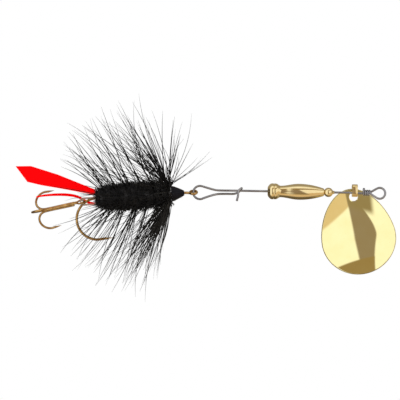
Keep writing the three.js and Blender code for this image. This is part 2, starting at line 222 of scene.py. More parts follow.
def bump(nodes, links, source, distance_mm, strength):
    node = nodes.new("ShaderNodeBump")
    node.inputs["Distance"].default_value = distance_mm * MM
    node.inputs["Strength"].default_value = strength
    links.new(source, node.inputs["Height"])
    return node.outputs["Normal"]


def metal(name, dark, light, roughness, grain, grain_depth, stretch=(1, 1, 1), wear=0.35):
    """Bare or lacquered metal: its colour varies over patches, and its grain is fine and shallow."""
    material, nodes, links, shader = new_material(name)
    patches = noise(nodes, links, wear, 3)
    fine = noise(nodes, links, grain, 2, stretch)
    shader.inputs["Metallic"].default_value = 1
    links.new(blended_color(nodes, links, patches, dark, light), shader.inputs["Base Color"])
    links.new(spread(nodes, links, fine, *roughness), shader.inputs["Roughness"])
    links.new(bump(nodes, links, fine, grain_depth, 0.6), shader.inputs["Normal"])
    return material


def fibre(name, dark, light, roughness, specular, grain=4.0, glow=0.0):
    """Dyed fibre, feather or thread, in two shades. glow is painted light: an emission in the light shade
    that makes the fibre brighter than its lamps make it.
    """
    material, nodes, links, shader = new_material(name)
    shade = noise(nodes, links, grain, 3)
    links.new(blended_color(nodes, links, shade, dark, light), shader.inputs["Base Color"])
    shader.inputs["Roughness"].default_value = roughness
    shader.inputs["Specular IOR Level"].default_value = specular
    # Painted light: an emission that brightens the fibre in its light shade, though it is no lamp.
    shader.inputs["Emission Color"].default_value = (*light, 1)
    shader.inputs["Emission Strength"].default_value = glow
    links.new(bump(nodes, links, shade, 0.02, 0.5), shader.inputs["Normal"])
    return material


def clear_nylon():
    material, nodes, links, shader = new_material("clear_nylon")
    haze = noise(nodes, links, 2.0, 2)
    tint = blended_color(nodes, links, haze, (0.80, 0.72, 0.66), (0.93, 0.88, 0.84))
    links.new(tint, shader.inputs["Base Color"])
    shader.inputs["Transmission Weight"].default_value = 0.85
    shader.inputs["Roughness"].default_value = 0.12
    shader.inputs["IOR"].default_value = 1.53
    return material


STEEL = metal("steel_wire", (0.24, 0.24, 0.27), (0.40, 0.40, 0.43), (0.22, 0.34), 6, 0.004, (0.3, 1, 1))
MIRROR_BRASS = metal("mirror_brass", (0.89, 0.79, 0.40), (0.91, 0.83, 0.45), (0.02, 0.05), 0.8, 0.0002)
SATIN_BRASS = metal(
    "satin_brass", (0.76, 0.60, 0.31), (0.84, 0.70, 0.40), (0.07, 0.14), 9, 0.0004, (1, 0.1, 0.1)
)
STRAP_BRASS = metal(
    "strap_brass", (0.74, 0.56, 0.27), (0.84, 0.66, 0.34), (0.12, 0.22), 5, 0.003, (1, 0.3, 0.3)
)
BRONZE = metal("bronze_hook", (0.28, 0.15, 0.05), (0.62, 0.39, 0.15), (0.12, 0.22), 5, 0.001, wear=1.1)
BRAZE = metal("hook_braze", (0.30, 0.17, 0.06), (0.46, 0.29, 0.12), (0.35, 0.55), 7, 0.01)
HEAD = fibre("black_head", (0.003, 0.003, 0.006), (0.010, 0.010, 0.018), 0.3, 0.12, 3.0)
THREAD = fibre("black_thread", (0.008, 0.008, 0.009), (0.02, 0.02, 0.022), 0.6, 0.3)
WOOL = fibre("black_wool", (0.001, 0.001, 0.001), (0.040, 0.040, 0.046), 0.42, 0.45, 4.0)
HACKLE = fibre("black_hackle", (0.002, 0.002, 0.0025), (0.010, 0.010, 0.012), 0.55, 0.25, 1.2)
# The red tail's glow of 0.25 is painted light, an emission that brightens its red.
RED = fibre("red_tail", (0.90, 0.0, 0.001), (1.0, 0.0, 0.002), 0.7, 0.05, 1.6, glow=0.25)
NYLON = clear_nylon()


# ---- mesh tools ----
def make(name, vertices, faces, material):
    mesh = bpy.data.meshes.new(name)
    points = (np.asarray(vertices, float) * MM).tolist()
    mesh.from_pydata(points, [], [list(map(int, face)) for face in faces])
    mesh.polygons.foreach_set("use_smooth", [True] * len(mesh.polygons))
    mesh.materials.append(material)
    mesh.update()
    piece = bpy.data.objects.new(name, mesh)
    bpy.context.scene.collection.objects.link(piece)
    return piece


def settle(piece, body, slot, *nodes):
    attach(piece, body)
    if nodes:
        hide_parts(*nodes)
    return piece


def combined(shapes):
    """Several (vertices, faces) as one."""
    vertices, faces, offset = [], [], 0
    for part_vertices, part_faces in shapes:
        vertices.append(np.asarray(part_vertices, float))
        faces.extend([[index + offset for index in face] for face in part_faces])
        offset += len(part_vertices)
    return np.concatenate(vertices), faces


def unit(vectors):
    length = np.linalg.norm(vectors, axis=-1, keepdims=True)
    return vectors / np.maximum(length, 1e-12)


def curve(points, steps):
    """A centripetal Catmull-Rom curve through the points, cut into steps of one length."""
    p = np.asarray(points, float)
    p = np.vstack([2 * p[0] - p[1], p, 2 * p[-1] - p[-2]])
    dense = []
    for i in range(1, len(p) - 2):
        p0, p1, p2, p3 = p[i - 1 : i + 3]
        d0, d1, d2 = (math.sqrt(np.linalg.norm(b - a)) for a, b in ((p0, p1), (p1, p2), (p2, p3)))
        m1 = ((p1 - p0) / d0 - (p2 - p0) / (d0 + d1) + (p2 - p1) / d1) * d1
        m2 = ((p2 - p1) / d1 - (p3 - p1) / (d1 + d2) + (p3 - p2) / d2) * d1
        t = np.linspace(0, 1, 24, endpoint=False)[:, None]
        dense.append(
            (2 * t**3 - 3 * t**2 + 1) * p1
            + (t**3 - 2 * t**2 + t) * m1
            + (3 * t**2 - 2 * t**3) * p2
            + (t**3 - t**2) * m2
        )
    dense = np.vstack([*dense, p[-2][None]])
    along = np.concatenate([[0], np.cumsum(np.linalg.norm(np.diff(dense, axis=0), axis=1))])
    wanted = np.linspace(0, along[-1], steps + 1)
    return np.column_stack([np.interp(wanted, along, dense[:, k]) for k in range(3)])


def carried_frames(path):
    """Two directions across the path at each point, which turn as little as they can."""
    tangents = unit(np.gradient(path, axis=0))
    seed = np.eye(3)[int(np.argmin(np.abs(tangents[0])))]
    across = unit(np.cross(tangents[0], seed))
    rows = []
    for tangent in tangents:
        across = unit(across - tangent * np.dot(across, tangent))
        rows.append(across)
    first = np.array(rows)
    return first, np.cross(tangents, first)


def band_faces(row, next_row, sides):
    """The quads between two closed rows of points."""
    here, there = row * sides, next_row * sides
    pairs = [(j, (j + 1) % sides) for j in range(sides)]
    return [[here + j, here + k, there + k, there + j] for j, k in pairs]


def loop_faces(rows, sides):
    """The quads of a closed ring of rows, such as a bored piece or a strap ring."""
    return [face for i in range(rows) for face in band_faces(i, (i + 1) % rows, sides)]


def tube_faces(rings, sides):
    faces = [face for i in range(rings - 1) for face in band_faces(i, i + 1, sides)]
    faces.append(list(range(sides))[::-1])
    faces.append([(rings - 1) * sides + j for j in range(sides)])
    return faces


def tube(path, radius, sides=14):
    """A round tube along a path. The radius is one number or one for each point."""
    path = np.asarray(path, float)
    radii = np.broadcast_to(np.asarray(radius, float), (len(path),))
    first, second = carried_frames(path)
    angles = np.arange(sides) * 2 * math.pi / sides
    ring = np.cos(angles)[:, None] * first[:, None] + np.sin(angles)[:, None] * second[:, None]
    vertices = path[:, None] + ring * radii[:, None, None]
    return vertices.reshape(-1, 3), tube_faces(len(path), sides)


def wire(path, radius, sides=14):
    """A tube whose cut ends are rounded over."""
    path = np.asarray(path, float)
    turn = np.radians([0, 25, 50, 75])
    start = unit(path[0] - path[1])
    end = unit(path[-1] - path[-2])
    head = path[0] - start * radius * END_ROUND * (1 - np.sin(turn))[:, None]
    tail = path[-1] - end * radius * END_ROUND * (1 - np.sin(turn))[:, None]
    first = radius * (1 - END_ROUND + END_ROUND * np.cos(turn))
    points = np.vstack([head[::-1], path[1:-1], tail])
    radii = np.concatenate([first[::-1], np.full(len(path) - 2, radius), first])
    return tube(points, radii, sides)


def arc(x, z, radius, start, end, count):
    """Points on an arc in the XZ plane, angles from +X towards +Z."""
    angles = np.linspace(start, end, count + 1)
    points = [x + radius * np.cos(angles), np.zeros_like(angles), z + radius * np.sin(angles)]
    return np.column_stack(points)


def lathe(profile, bore, sides=96):
    """A piece turned about X: the profile holds (distance along X, radius)."""
    outline = np.array([*profile, (profile[-1][0], bore), (profile[0][0], bore)], float)
    angles = np.arange(sides) * 2 * math.pi / sides
    x, radius = np.repeat(outline[:, :1], sides, 1), outline[:, 1:]
    vertices = np.stack([x, radius * np.cos(angles), radius * np.sin(angles)], axis=-1)
    faces = [[a, d, c, b] for a, b, c, d in loop_faces(len(outline), sides)]
    return vertices.reshape(-1, 3), faces


def fibres(paths, radii, sides=3):
    """Many thin tapered tubes at once: paths is (fibre, point, 3), with one radius for each point."""
    paths = np.asarray(paths, float)
    count, points, _ = paths.shape
    tangents = unit(np.gradient(paths, axis=1))
    overall = unit(paths[:, -1] - paths[:, 0])
    helper = np.where(np.abs(overall[:, :1]) < 0.8, np.array([[1.0, 0, 0]]), np.array([[0, 1.0, 0]]))
    first = unit(np.cross(tangents, helper[:, None]))
    second = np.cross(tangents, first)
    angles = np.arange(sides) * 2 * math.pi / sides
    width = np.broadcast_to(np.asarray(radii, float), (count, points))[:, :, None, None]
    ring = np.cos(angles)[:, None] * first[:, :, None] + np.sin(angles)[:, None] * second[:, :, None]
    vertices = (paths[:, :, None] + ring * width).reshape(-1, 3)
    one = tube_faces(points, sides)
    faces = []
    for i in range(count):
        offset = i * points * sides
        faces.extend([[index + offset for index in face] for face in one])
    return vertices, faces


# ---- wire ----
def shaft_path():
    start, end = SPLIT_ANGLE - BEND_SPREAD, math.pi / 2 - LOOP_SLOPE
    loop = arc(REAR_LOOP_X, HOOK_EYE[2], REAR_LOOP_R, start, end, 12)
    crest = loop[-1]
    landing = crest[0] + crest[2] / math.tan(LOOP_SLOPE)
    slope = [(landing - 0.4, 0, 0.4 * math.tan(LOOP_SLOPE)), (landing + 0.4, 0, 0)]
    straight = [(landing + (NECK_X - landing) * i / 8, 0, 0) for i in range(1, 8)]
    straight.append((NECK_X - 0.3, 0, 0))
    entry = math.pi - math.acos(NOSE_R / -NECK_X)
    nose = arc(0, 0, NOSE_R, entry, -entry, 14)
    nose[:, 1] = -WRAP_R * 0.25 * np.arange(15) / 14
    turns = np.arange(WRAP_TURNS * 12 + 1) / 12
    angle = 2 * math.pi * turns
    back = NECK_X + WIRE_R - WRAP_PITCH * turns
    wraps = np.column_stack([back, -WRAP_R * np.cos(angle), WRAP_R * np.sin(angle)])
    end = wraps[-1]
    tag = [(end[0] + 0.03, end[1] - 0.1, 0.55), (end[0] + 0.1, end[1] - 0.1, 1.15)]
    return curve([*loop, *slope, *straight, *nose, *wraps, *tag], 900)


def latch_path():
    bottom = 1.5 * math.pi + LOOP_SLOPE
    loop = arc(REAR_LOOP_X, HOOK_EYE[2], REAR_LOOP_R, SPLIT_ANGLE + BEND_SPREAD, bottom, 3)
    leg = [(-39.3, LEG_Y * 0.4, -1.42), (-37.4, LEG_Y, -0.9)]
    leg += [(-35.4, LEG_Y, -0.78), (-33.4, LEG_Y, -0.72)]
    reach = WRAP_R + 0.06
    steps = np.arange(9) / 8
    angle = -math.pi / 5 + 1.2 * math.pi * steps
    along = CATCH_X - 0.5 + 0.75 * np.sin(math.pi * steps)
    catch = np.column_stack([along, reach * np.cos(angle), reach * np.sin(angle)])
    tail = [(CATCH_X - 0.6, -reach, -1.2), (CATCH_X - 0.85, -reach + 0.05, -2.4)]
    return curve([*loop, *leg, *catch, *tail], 220)


def build_wire():
    shaft = make("spring_wire_shaft", *wire(shaft_path(), WIRE_R, 16), STEEL)
    settle(shaft, "wire", "steel_wire", "shaft_wire")
    latch = make("spring_wire_latch", *wire(latch_path(), WIRE_R, 16), STEEL)
    settle(latch, "latch", "steel_wire", "latch_arm")
    low, high = SPLIT_ANGLE - BEND_SPREAD, SPLIT_ANGLE + BEND_SPREAD
    bend_path = arc(REAR_LOOP_X, HOOK_EYE[2], REAR_LOOP_R, low, high, 24)
    bend = make("spring_wire_bend", *tube(bend_path, WIRE_R, 16), STEEL)
    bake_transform(bend)


# ---- brass ----
def blade_outline(angle):
    """The egg outline, from the blade's widest line: angles from +Z towards +X."""
    side, up = math.sin(angle), math.cos(angle)
    if up > 0:
        return BLADE_HALF_WIDTH * math.copysign(abs(side) ** 1.05, side), BLADE_UPPER * up**1.18
    return BLADE_HALF_WIDTH * side, BLADE_LOWER * up


def blade_shape():
    """Rings run from the hole to the rim on both faces, so the mirror face has no seams.
    The hollow face is cut back along the rim, which leaves a thin edge."""
    around, across = 240, 72
    rim = np.array([blade_outline(a) for a in np.linspace(0, 2 * math.pi, 2401)])
    rim_angle = np.unwrap(np.arctan2(rim[:, 0], rim[:, 1]))
    rim_radius = np.linalg.norm(rim, axis=1)
    hole_z = BLADE_UPPER - HOLE_BELOW_TOP
    from_hole = rim - np.array([HOLE_ASIDE, hole_z])
    hole_angle = np.unwrap(np.arctan2(from_hole[:, 0], from_hole[:, 1]))
    hole_radius = np.linalg.norm(from_hole, axis=1)
    angles = np.arange(around) * 2 * math.pi / around
    reach = np.interp(angles, hole_angle, hole_radius, period=2 * math.pi)
    share = 1 - (1 - np.arange(across + 1) / across) ** 1.6
    radius = HOLE_R + (reach[None] - HOLE_R) * share[:, None]
    x, z = HOLE_ASIDE + radius * np.sin(angles), hole_z + radius * np.cos(angles)
    direction = np.mod(np.arctan2(x, z), 2 * math.pi)
    ring = np.hypot(x, z) / np.interp(direction, rim_angle, rim_radius, period=2 * math.pi)
    ring = np.minimum(ring, 1)
    bowl = BLADE_DISH * (1 - ring**2)
    rim_cut = RIM_CUT_DEPTH * np.clip((ring - RIM_CUT_FROM) / RIM_CUT_WIDTH, 0, 1)
    faces, grids = [], []
    for height in (bowl - BLADE_SHEET / 2 + rim_cut, bowl + BLADE_SHEET / 2):
        grids.append(np.stack([x - HOLE_ASIDE, height, z - hole_z], axis=-1).reshape(-1, 3))
    size = (across + 1) * around
    for i in range(across):
        for j in range(around):
            k = (j + 1) % around
            quad = [i * around + j, i * around + k, (i + 1) * around + k, (i + 1) * around + j]
            faces.append(quad)
            faces.append([size + index for index in quad[::-1]])
    for ring_start in (0, across * around):
        for j in range(around):
            k = (j + 1) % around
            quad = [ring_start + j, size + ring_start + j, size + ring_start + k, ring_start + k]
            faces.append(quad if ring_start == 0 else quad[::-1])
    return np.concatenate(grids), faces


def build_blade():
    vertices, faces = blade_shape()
    turn = Matrix.Rotation(BLADE_LEAN, 4, "Y")
    blade = make("mirror_blade", placed(vertices, shift(BLADE_HOLE) @ turn), faces, MIRROR_BRASS)
    settle(blade, "blade", "brass_blade", "blade")
    rounded = blade.modifiers.new("rim", "BEVEL")
    rounded.width = EDGE_BREAK * MM
    rounded.segments = 2
    rounded.angle_limit = math.radians(50)


def rounded_rectangle(half_width, half_height, corner, count):
    """The outline's points, count to a corner, and the directions out of it."""
    points, outward = [], []
    for width, height, start in ((1, 1, 0), (-1, 1, 90), (-1, -1, 180), (1, -1, 270)):
        centre = np.array([width * (half_width - corner), height * (half_height - corner)])
        for turn in np.radians(start + np.linspace(0, 90, count)):
            outward.append(np.array([math.cos(turn), math.sin(turn)]))
            points.append(centre + corner * outward[-1])
    return np.array(points), np.array(outward)


def build_clevis():
    """A strap bent to a ring with rounded corners, which fills the CAD ring's box."""
    low, high = node_box("clevis")
    centre = (low + high) / 2
    half_y, half_z = (high - low)[1:] / 2 - STRAP_SHEET / 2
    section, _ = rounded_rectangle(STRAP_WIDTH / 2, STRAP_SHEET / 2, STRAP_EDGE_ROUND, 4)
    middle, outward = rounded_rectangle(half_y, half_z, STRAP_CORNER - STRAP_SHEET / 2, 15)
    across = middle[:, None] + section[:, 1][None, :, None] * outward[:, None]
    along_x = np.broadcast_to(section[:, 0], across.shape[:2])
    vertices = np.stack([along_x, across[..., 0], across[..., 1]], axis=-1)
    faces = loop_faces(len(middle), len(section))
    clevis = make("strap_clevis", vertices.reshape(-1, 3) + centre, faces, STRAP_BRASS)
    settle(clevis, "clevis", "brass_strap", "clevis")


def body_profile(length):
    """The baluster: a ball and groove at the rear, then a long swell that tapers to the nose."""
    points = [(0, 0.9), (0.1, 1.15), (0.25, 1.35), (0.42, 1.55), (0.6, 1.7), (0.8, 1.8), (1.0, 1.84)]
    points += [(1.3, 1.84), (1.38, 1.8), (1.42, 1.72), (1.47, 1.72), (1.51, 1.8), (1.58, 1.84)]
    points += [(1.9, 1.82), (2.1, 1.76), (2.3, 1.66), (2.5, 1.52), (2.65, 1.42), (2.85, 1.34), (3.0, 1.32)]
    for i in range(41):
        t = i / 40
        swell = 1.34 + 0.5 * math.sin(math.pi / 2 * min(1, t / 0.42)) ** 1.5
        taper = 0.9 * ((t - 0.42) / 0.58) ** 2 if t > 0.42 else 0
        points.append((3.3 + (length - 3.6) * t, swell - taper))
    points += [(length - 0.12, 0.86), (length, 0.7)]
    return points


def build_turned():
    low, high = node_box("weight_body")
    profile = [(low[0] + x, r) for x, r in body_profile(high[0] - low[0])]
    body = make("turned_weight", *lathe(profile, BORE_R), SATIN_BRASS)
    settle(body, "weight", "brass_turned", "weight_body")
    low, high = node_box("bearing_bead")
    radius = high[2]
    middle = joint_point("bead_spin")[0]
    angles = np.linspace(-0.38 * math.pi, 0.38 * math.pi, 25)
    profile = [(middle + radius * math.sin(a), radius * math.cos(a)) for a in angles]
    profile.append((high[0], 0.36))
    bead = make("turned_bead", *lathe(profile, BORE_R, 64), SATIN_BRASS)
    settle(bead, "bead", "brass_turned", "bearing_bead")


# ---- hooks ----
def hook_bend(shank, radius, count=24):
    return arc(-shank, -radius, radius, 0.5 * math.pi, 1.56 * math.pi, count)[1:]


def pointed(path, radius, spear):
    """The wire of a hook, which ends in a straight spear ground to a needle, and the barb cut up from it."""
    ahead = unit(path[-1] - path[-2])
    steps = np.linspace(0, 1, 16)[1:]
    point = path[-1] + ahead * (spear - 0.1) * steps[:, None]
    taper = radius * (1 - steps**1.35) + 0.012
    body = tube(np.vstack([path, point]), np.concatenate([np.full(len(path), radius), taper]), 14)
    inward = np.array([-ahead[2], 0, ahead[0]])
    root = path[-1] + ahead * spear * 0.22 + inward * radius * 0.35
    rise = unit(inward * 0.5 - ahead)
    lengths = np.linspace(-0.25, 1, 8)
    barb_path = root + ahead * spear * 0.2 + rise * spear * 0.3 * lengths[:, None]
    barb = tube(barb_path, radius * 0.42 * (1.02 - np.linspace(0, 1, 8)), 8)
    return [body, barb]


def hook_eye_points():
    angles = math.pi - 0.42 - 1.72 * math.pi * np.arange(12) / 11
    ring = np.column_stack([HOOK_EYE_R * np.cos(angles), HOOK_EYE_R * np.sin(angles), np.zeros(12)])
    return placed(ring, Matrix.Rotation(HOOK_EYE_ROLL, 4, "X"))


def build_fly_hook():
    front = -HOOK_EYE_R - 0.75
    straight = [(front + (-HOOK_SHANK - front) * i / 4, 0, 0) for i in range(5)]
    path = curve([*hook_eye_points(), *straight, *hook_bend(HOOK_SHANK, HOOK_BEND, 12)], 260)
    vertices, faces = combined(pointed(path, HOOK_WIRE, HOOK_SPEAR))
    hook = make("single_hook", placed(vertices, FLY), faces, BRONZE)
    settle(hook, "fly", "bronze_hook", "fly_hook")


def treble_leg(turn):
    points = [(-TREBLE_EYE_R - 0.9, 0, 0), (-TREBLE_SHANK / 2, 0, 0), (-TREBLE_SHANK, 0, 0)]
    path = curve([*points, *hook_bend(TREBLE_SHANK, TREBLE_BEND, 12)], 120)
    matrix = shift(BUNDLE) @ Matrix.Rotation(turn, 4, "X") @ shift((0, 0, -LEG_OFFSET))
    shapes = pointed(path, TREBLE_WIRE, TREBLE_SPEAR)
    return [(placed(vertices, matrix), faces) for vertices, faces in shapes]


def treble_eye():
    offset = LEG_OFFSET * math.cos(math.pi / 6)
    seat = -TREBLE_EYE_R - 1.1
    angles = math.pi - 0.5 - (2 * math.pi - 1) * np.arange(13) / 12
    ring = np.column_stack([TREBLE_EYE_R * np.cos(angles), TREBLE_EYE_R * np.sin(angles), np.zeros(13)])
    lead_in = [(seat - 0.43, offset, 0), (seat, offset, 0)]
    lead_out = [(seat, -offset, 0), (seat - 0.43, -offset, 0)]
    vertices, faces = wire(curve([*lead_in, *ring, *lead_out], 90), TREBLE_WIRE * 0.8)
    return placed(vertices, Matrix.Rotation(EYE_TILT, 4, "X")), faces


def build_treble():
    shapes = [treble_eye(), *treble_leg(LEG_TURN["upper"]), *treble_leg(LEG_TURN["front"])]
    vertices, faces = combined(shapes)
    double = make("treble_double", placed(vertices, TREBLE), faces, BRONZE)
    settle(double, "treble", "bronze_hook", "treble_double_hook")
    vertices, faces = combined(treble_leg(LEG_TURN["lower"]))
    single = make("treble_single", placed(vertices, TREBLE), faces, BRONZE)
    settle(single, "treble", "bronze_hook", "treble_single_hook")
    steps = np.linspace(0, 1, 40)
    along = -TREBLE_SHANK * (0.26 + 0.6 * steps)
    path = np.column_stack([along, np.full(40, BUNDLE[1]), np.full(40, BUNDLE[2])])
    radius = 0.2 * np.sin(math.pi * np.clip(steps, 0.04, 0.96)) ** 0.3 * (1 + 0.06 * np.sin(19 * steps))
    vertices, faces = tube(path, radius, 18)
    braze = make("brazed_joint", placed(vertices, TREBLE), faces, BRAZE)
    settle(braze, "treble", "hook_braze", "treble_braze")


# ---- dressing ----
def wool_radius(s):
    t = (s - WOOL_FRONT) / (WOOL_REAR - WOOL_FRONT)
    return 2.0 + 0.85 * np.sin(math.pi * np.clip(t * 0.85 + 0.08, 0, 1))


def core_radius(s):
    """The wound core inside the pile: it closes in over its last turn at the rear."""
    close = np.clip((WOOL_REAR - s) / 2.4, 0, 1)
    return (wool_radius(s) - 0.45) * (0.5 + 0.5 * np.sqrt(1 - (1 - close) ** 2))


def around_shank(s, radius, angle):
    """Points round the shank: s is the distance behind the eye, and the angle runs from +Z towards +Y."""
    s, radius, angle = np.broadcast_arrays(s, radius, angle)
    return np.stack([-s, radius * np.sin(angle), radius * np.cos(angle)], axis=-1)


def wound_shell(s, radius, pitch, depth, bore, wave):
    """A bored piece round the shank, with a winding's ridges or grooves along its outside."""
    angles = np.arange(WOUND_SIDES) * 2 * math.pi / WOUND_SIDES
    height = np.abs(wave(math.pi * (s[:, None] / pitch - angles[None] / (2 * math.pi))))
    outside = around_shank(s[:, None], radius[:, None] + depth * height, angles[None])
    inside = around_shank(np.array([s[-1], s[0]])[:, None], bore, angles[None])
    vertices = np.concatenate([outside, inside])
    return vertices.reshape(-1, 3), loop_faces(len(vertices), WOUND_SIDES)


def build_head():
    """Turns of thread, laid side by side and varnished, that taper to the eye."""
    knots_s, knots_r = zip(*HEAD_KNOTS)
    s = np.linspace(knots_s[0], knots_s[-1], 110)
    radius = np.interp(s, knots_s, knots_r)
    vertices, faces = wound_shell(s, radius - THREAD_RIDGE, THREAD_PITCH, THREAD_RIDGE, HEAD_BORE, np.cos)
    head = make("thread_windings", placed(vertices, FLY), faces, HEAD)
    settle(head, "fly", "black_head", "thread_head")


def build_wool():
    """Chenille: a core with a wound groove, and short fibres that stand out of it all over and lean out
    at its two ends."""
    s = np.linspace(WOOL_FRONT, WOOL_REAR, 150)
    vertices, faces = wound_shell(s, core_radius(s), WOOL_PITCH, WOOL_GROOVE, WOOL_BORE, np.sin)
    core = make("chenille_core", placed(vertices, FLY), faces, WOOL)
    settle(core, "fly", "black_wool", "wool_body")

    random = np.random.default_rng(11)
    number = PILE_FIBRES
    s = random.uniform(WOOL_FRONT, WOOL_REAR + 0.1, number)
    angle = random.uniform(0, 2 * math.pi, number)
    base = around_shank(np.minimum(s, WOOL_REAR), core_radius(np.minimum(s, WOOL_REAR)), angle)
    out = around_shank(np.zeros(number), 1.0, angle)
    side = np.stack([np.zeros(number), np.cos(angle), -np.sin(angle)], axis=-1)
    axial = np.array([[-1.0, 0, 0]])
    at_rear = np.clip((s - WOOL_REAR + 1.6) / 1.6, 0, 1)
    at_front = np.clip((WOOL_FRONT + 0.8 - s) / 0.8, 0, 1)
    lean = (at_rear - 0.6 * at_front + random.normal(0.05, 0.45, number))[:, None]
    twist = random.normal(0, 0.5, number)[:, None]
    length = random.uniform(*PILE_LENGTH, number)[:, None]
    curl = random.normal(0, 0.3, (number, 1))
    steps = np.linspace(0, 1, len(PILE_RADII))[None, :, None]
    direction = unit(out + lean * axial + twist * side)
    paths = base[:, None] + direction[:, None] * length[:, None] * steps
    paths = paths + (curl * length * side)[:, None] * steps**2 * 0.6
    vertices, faces = fibres(paths, PILE_RADII)
    pile = make("chenille_pile", placed(vertices, FLY), faces, WOOL)
    settle(pile, "fly", "black_wool")


def stem_point(s, angle, clear):
    radius = np.where(s < WOOL_FRONT, 1.95, wool_radius(s)) + STEM_R + clear
    return around_shank(s, radius, angle)


def stem_tube(winding):
    """A feather's stem, thinner towards its end."""
    start, end, turns = winding
    t = np.linspace(0, 1, int(turns * 28))
    path = stem_point(start + (end - start) * t, 2 * math.pi * turns * t, STEM_CLEAR)
    return tube(path, STEM_R * (1 - 0.35 * t), 10)


def barb_paths(random, number, winding, lean, length, scatter, bow=0.10):
    """The barbs of a wound feather. lean and length are functions of the share along the feather and the side
    angle. scatter spreads the barbs off the winding, and bow bends them."""
    start, end, turns = winding
    points = len(BARB_RADII)
    t = np.sort(random.uniform(0, 1, number))
    s = start + (end - start) * t + random.normal(0, 0.25, number)
    angle = 2 * math.pi * turns * t + random.normal(0, scatter, number)
    base = stem_point(s, angle, 0.0)
    out = around_shank(np.zeros(number), 1.0, angle)
    side = np.stack([np.zeros(number), np.cos(angle), -np.sin(angle)], axis=-1)
    axial = np.array([-1.0, 0, 0])
    sweep = lean(t, angle) + random.normal(0, 0.10, number)
    bend = random.normal(bow, 0.16, number)
    twist = random.normal(0, 0.13, number)
    side_bend = random.normal(0, 0.16, number)
    reach = length(t, angle) * random.uniform(0.72, 1.06, number)
    steps = np.linspace(0, 1, points)
    paths = [base]
    for i in range(1, points):
        u = (steps[i] + steps[i - 1]) / 2
        turn = sweep + bend * (2 * u - 0.6)
        across = twist + side_bend * u
        direction = (
            out * (np.cos(turn) * np.cos(across))[:, None]
            + axial * np.sin(turn)[:, None]
            + side * (np.cos(turn) * np.sin(across))[:, None]
        )
        paths.append(paths[-1] + unit(direction) * (reach * (steps[i] - steps[i - 1]))[:, None])
    return np.stack(paths, axis=1)


def barb_radii(random, number):
    return BARB_RADII[None] * random.uniform(0.6, 1.15, (number, 1))


def build_hackle():
    """The palmer feather sweeps back along the body, and the collar fans from forward to back."""
    random = np.random.default_rng(23)

    def palmer_lean(t, angle):
        return 0.40 + (0.28 - 0.14 * np.cos(angle)) * t**3

    def palmer_length(t, angle):
        return 21.0 - 5.5 * t**3

    def collar_lean(t, angle):
        forward = -0.12 - 0.34 * np.cos(angle)
        return forward + (0.76 + 0.1 * np.cos(angle) - forward) * np.mod(t * 7.31, 1.0) ** 0.75

    def collar_length(t, angle):
        return 19.0 + 5.0 * np.clip(collar_lean(t, angle), -0.2, 0.8)

    def wisp_lean(t, angle):
        return -1.12 + 0.1 * t

    def wisp_length(t, angle):
        return np.full_like(t, 12.5)

    paths = barb_paths(random, PALMER_BARBS, PALMER_WINDING, palmer_lean, palmer_length, scatter=0.8)
    barbs = fibres(paths, barb_radii(random, PALMER_BARBS))
    vertices, faces = combined([stem_tube(PALMER_WINDING), barbs])
    palmer = make("palmer_hackle", placed(vertices, FLY), faces, HACKLE)
    settle(palmer, "fly", "black_hackle", "palmer_stem", "palmer_barbs")

    shape = {"lean": collar_lean, "length": collar_length, "scatter": 0.6, "bow": 0.02}
    paths = barb_paths(random, COLLAR_BARBS, COLLAR_WINDING, **shape)
    wisp_paths = barb_paths(random, WISPS, WISP_WINDING, wisp_lean, wisp_length, scatter=0.35)
    barbs = fibres(paths, barb_radii(random, COLLAR_BARBS))
    wisps = fibres(wisp_paths, barb_radii(random, WISPS) * 0.7)
    vertices, faces = combined([stem_tube(COLLAR_WINDING), barbs, wisps])
    collar = make("collar_hackle", placed(vertices, FLY), faces, HACKLE)
    settle(collar, "fly", "black_hackle", "collar_stem", "collar_barbs")


def along(points, shares):
    """Points at shares of a line's length, as (s, 0, z)."""
    length = np.concatenate([[0], np.cumsum(np.linalg.norm(np.diff(points, axis=0), axis=1))])
    s, z = (np.interp(shares * length[-1], length, points[:, k]) for k in range(2))
    return np.column_stack([s, np.zeros_like(s), z])


def slip_shape(top, bottom, thickness, strands, side, waves=0.0):
    """A slip of feather strands: ridges run along it between its edges, side is its place across the hook,
    and waves is how far it curls."""
    count = 60
    across = strands * 6 + 1
    u = np.linspace(0, 1, count)
    upper, lower = (along(np.array(edge, float), u) for edge in (top, bottom))
    v = np.linspace(0, 1, across)
    grid = upper[:, None] * (1 - v)[None, :, None] + lower[:, None] * v[None, :, None]
    ridge = 0.62 + 0.38 * np.abs(np.sin(math.pi * v * strands))
    edge = np.clip(np.minimum(v, 1 - v) * across / 3, 0.25, 1)
    half = thickness / 2 * ridge * edge
    wave = waves * np.sin(2.2 * u[:, None] + 3.1 * v[None]) * u[:, None] ** 2
    front = np.stack([-grid[..., 0], side + wave - half, grid[..., 2]], axis=-1)
    back = np.stack([-grid[..., 0], side + wave + half, grid[..., 2]], axis=-1)
    vertices = np.concatenate([front.reshape(-1, 3), back.reshape(-1, 3)])
    size = count * across
    faces = []
    for i in range(count - 1):
        for j in range(across - 1):
            a, b = i * across + j, i * across + j + 1
            faces.append([a, a + across, b + across, b])
            faces.append([size + b, size + b + across, size + a + across, size + a])
    border = list(range(across))
    border += [i * across + across - 1 for i in range(1, count)]
    border += [(count - 1) * across + j for j in range(across - 2, -1, -1)]
    border += [i * across for i in range(count - 2, 0, -1)]
    for a, b in zip(border, border[1:] + border[:1]):
        faces.append([a, b, size + b, size + a])
    return vertices, faces


